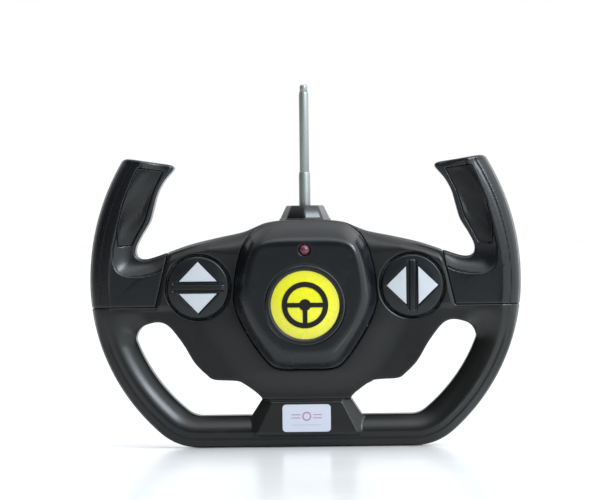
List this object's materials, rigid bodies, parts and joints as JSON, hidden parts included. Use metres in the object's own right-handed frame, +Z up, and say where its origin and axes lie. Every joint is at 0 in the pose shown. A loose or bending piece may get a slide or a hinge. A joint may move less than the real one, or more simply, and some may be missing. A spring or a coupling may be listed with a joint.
{
  "type": "radio transmitter controller",
  "caption": "Hand-held radio transmitter shaped like a racing steering wheel, with two rocker pads, a centre shield and badge, finger openings and a telescopic antenna.",
  "frame": {"origin": "middle of the flat foot of the wheel, on the parting plane of the two shells", "axes": "+Z up along the antenna, +X to the user's right hand as seen from the face, the face with the pads looks along -Y"},
  "size_m": [0.19, 0.045, 0.1596],
  "materials": {
    "black_case": "fine moulded texture, semi-matte",
    "grip_cover": "satin moulded",
    "grip_inlay": "soft grained panel",
    "shield": "satin gloss moulded",
    "pad_black": "satin gloss moulded",
    "arrow_silver": "silver-grey print",
    "badge_yellow": "glossy yellow",
    "emblem_black": "black print",
    "lamp_red": "tinted lens, unlit",
    "label_white": "satin white",
    "grey_nylon": "moulded",
    "keypad_rubber": "matte silicone",
    "foam_pad": "open foam",
    "board_green": "solder mask",
    "component_black": "moulded epoxy",
    "tinned_can": "tin plated",
    "capacitor_sleeve": "shrink sleeve",
    "resistor_body": "lacquered",
    "battery_jacket": "plain printed jacket",
    "red_wire": "insulation",
    "black_wire": "insulation",
    "bracket_brass": "stamped",
    "antenna_metal": "drawn tube",
    "screw_steel": "zinc plated"
  },
  "bodies": {
    "housing": {"front_shell": "black_case", "rear_shell": "black_case", "left_grip_cover": "grip_cover", "right_grip_cover": "grip_cover", "left_grip_inlay": "grip_inlay", "right_grip_inlay": "grip_inlay", "pod_cover": "shield", "badge_bezel": "shield", "badge_disc": "badge_yellow", "badge_emblem": "emblem_black", "status_led": "lamp_red", "label_plate": "label_white", "left_rocker_frame": "grey_nylon", "left_keypad": "keypad_rubber", "right_rocker_frame": "grey_nylon", "right_keypad": "keypad_rubber", "main_board": "board_green", "encoder_chip": "component_black", "crystal": "tinned_can", "rf_coils": "tinned_can", "capacitors": "capacitor_sleeve", "transistors": "component_black", "resistors": "resistor_body", "power_switch": "tinned_can", "switch_leads": "tinned_can", "battery": "battery_jacket", "battery_snap": "component_black", "red_lead": "red_wire", "black_lead": "black_wire", "battery_pad": "foam_pad", "antenna_bracket": "bracket_brass", "antenna_lead": "black_wire", "antenna_collar": "shield", "antenna_section_1": "antenna_metal", "case_screws": "screw_steel", "frame_screws": "screw_steel", "board_screws": "screw_steel"},
    "left_rocker": {"left_rocker": "pad_black", "forward_arrow": "arrow_silver", "reverse_arrow": "arrow_silver"},
    "right_rocker": {"right_rocker": "pad_black", "left_arrow": "arrow_silver", "right_arrow": "arrow_silver"},
    "switch_knob": {"switch_knob": "pad_black"},
    "battery_door": {"battery_door": "black_case", "door_screw": "screw_steel"},
    "antenna_tube_2": {"antenna_section_2": "antenna_metal"},
    "antenna_tube_3": {"antenna_section_3": "antenna_metal"},
    "antenna_rod": {"antenna_section_4": "antenna_metal"}
  },
  "joints": [
    {"name": "left_rocker_tilt", "type": "hinge", "parent": "housing", "child": "left_rocker", "pos_m": [-0.0474, -0.008, 0.0702], "axis": [1, 0, 0], "range_deg": [-4, 4], "stiffness_Nm_per_rad": 0.2},
    {"name": "right_rocker_tilt", "type": "hinge", "parent": "housing", "child": "right_rocker", "pos_m": [0.0474, -0.008, 0.0702], "axis": [0, 0, 1], "range_deg": [-4, 4], "stiffness_Nm_per_rad": 0.2},
    {"name": "power_switch_slide", "type": "slide", "parent": "housing", "child": "switch_knob", "axis": [1, 0, 0], "range_m": [0, 0.004]},
    {"name": "battery_door_hinge", "type": "hinge", "parent": "housing", "child": "battery_door", "pos_m": [0, 0.021, 0.0312], "axis": [-1, 0, 0], "range_deg": [0, 75]},
    {"name": "antenna_2_slide", "type": "slide", "parent": "housing", "child": "antenna_tube_2", "axis": [0, 0, 1], "range_m": [-0.035, 0]},
    {"name": "antenna_3_slide", "type": "slide", "parent": "antenna_tube_2", "child": "antenna_tube_3", "axis": [0, 0, 1], "range_m": [0, 0.032]},
    {"name": "antenna_rod_slide", "type": "slide", "parent": "antenna_tube_3", "child": "antenna_rod", "axis": [0, 0, 1], "range_m": [0, 0.032]}
  ]
}
